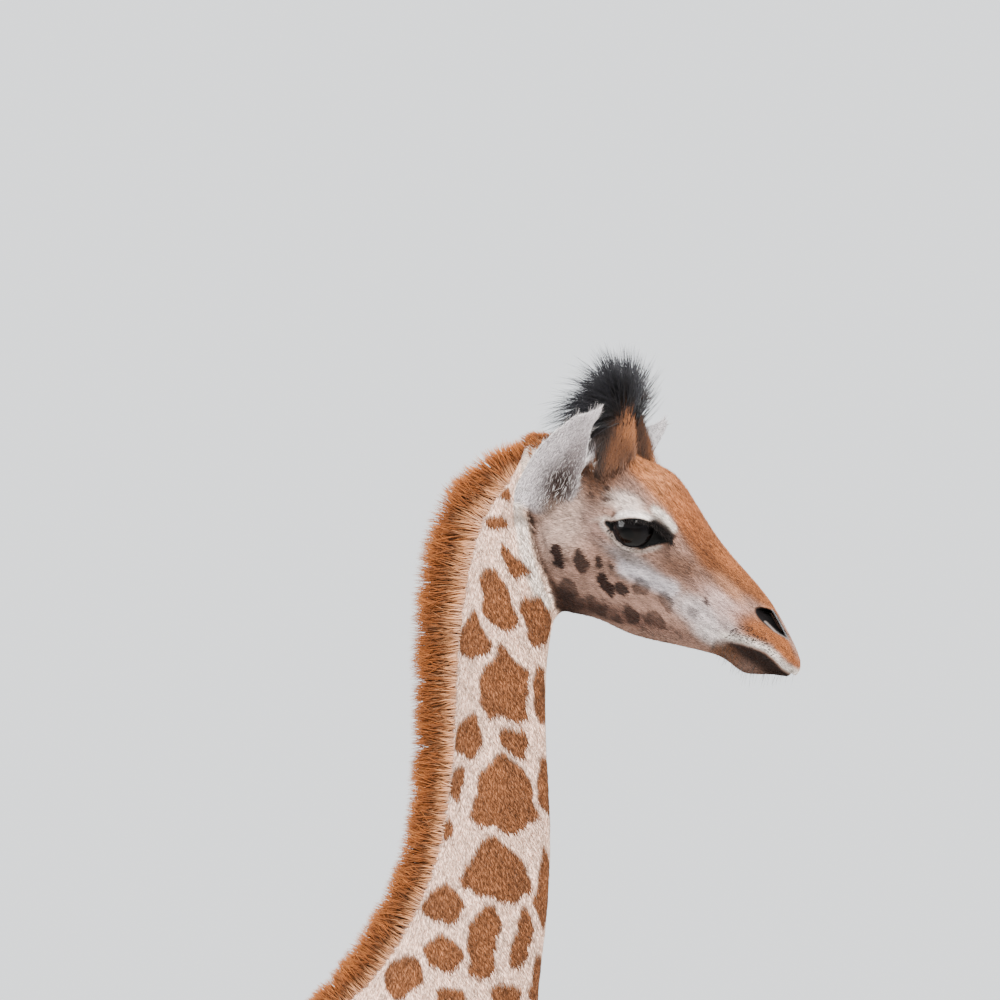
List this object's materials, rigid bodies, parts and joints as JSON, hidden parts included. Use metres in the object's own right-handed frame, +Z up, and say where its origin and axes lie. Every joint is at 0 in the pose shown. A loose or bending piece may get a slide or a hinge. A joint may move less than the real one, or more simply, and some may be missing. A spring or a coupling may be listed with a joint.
{
  "type": "giraffe calf",
  "caption": "Standing giraffe calf, a life-size display model with upright mane, tufted horns, leaf-shaped ears and slender legs.",
  "frame": {"origin": "on the floor, under the middle of the bounding box", "axes": "+Z up, the calf faces -Y with its head turned a little to its right, its right side is towards -X"},
  "size_m": [0.2928, 1.1571, 2.2729],
  "materials": {
    "cream_coat": "short hair, matt",
    "tan_face": "short hair, matt",
    "white_ear": "short hair, matt",
    "ginger_mane": "stiff hair, matt",
    "black_hair": "long hair, satin",
    "dark_eye": "wet gloss",
    "hoof_horn": "satin horn"
  },
  "bodies": {
    "root": {"neck": "cream_coat", "trunk": "cream_coat", "foreleg_left": "cream_coat", "foreleg_right": "cream_coat", "hindleg_left": "cream_coat", "hindleg_right": "cream_coat", "tail": "cream_coat", "head": "tan_face", "lower_jaw": "tan_face", "horn_left": "tan_face", "horn_right": "tan_face", "ear_left": "white_ear", "ear_right": "white_ear", "mane": "ginger_mane", "horn_tuft_left": "black_hair", "horn_tuft_right": "black_hair", "tail_tuft": "black_hair", "eye_left": "dark_eye", "eye_right": "dark_eye", "hoof_fore_left_inner": "hoof_horn", "hoof_fore_left_outer": "hoof_horn", "hoof_fore_right_inner": "hoof_horn", "hoof_fore_right_outer": "hoof_horn", "hoof_hind_left_inner": "hoof_horn", "hoof_hind_left_outer": "hoof_horn", "hoof_hind_right_inner": "hoof_horn", "hoof_hind_right_outer": "hoof_horn"}
  },
  "joints": []
}
